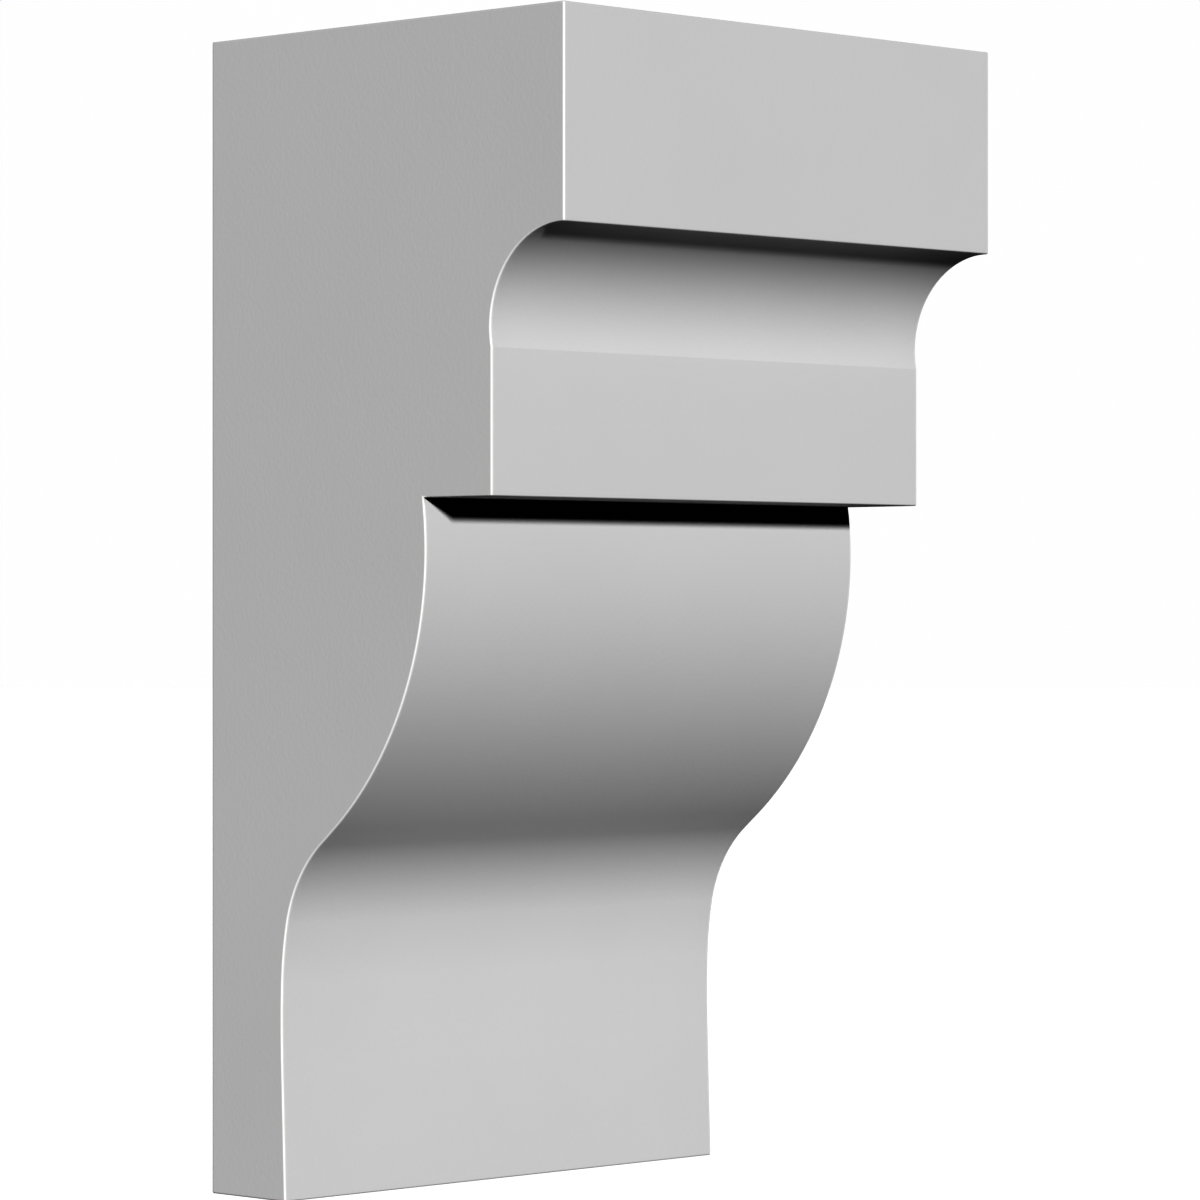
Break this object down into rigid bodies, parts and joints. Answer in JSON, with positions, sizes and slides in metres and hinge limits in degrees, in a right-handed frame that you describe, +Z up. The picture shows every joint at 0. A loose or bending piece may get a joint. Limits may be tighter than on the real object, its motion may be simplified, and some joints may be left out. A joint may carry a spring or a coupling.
{
  "type": "corbel",
  "caption": "Plain S-curve corbel: square fascia, cove, flat band and ledge over a long S-curve down to a thin foot; flat back fixes to a wall, flat top carries a shelf.",
  "frame": {"origin": "centre of the flat back face, where the corbel meets the wall", "axes": "+Z up; +Y straight into the wall, so the front looks towards -Y; +X across the width, to the right of someone who faces the front"},
  "size_m": [0.1906, 0.1524, 0.3556],
  "materials": {
    "primed_pvc": "smooth factory primer on cellular PVC, matt"
  },
  "bodies": {
    "root": {"corbel": "primed_pvc"}
  },
  "joints": []
}
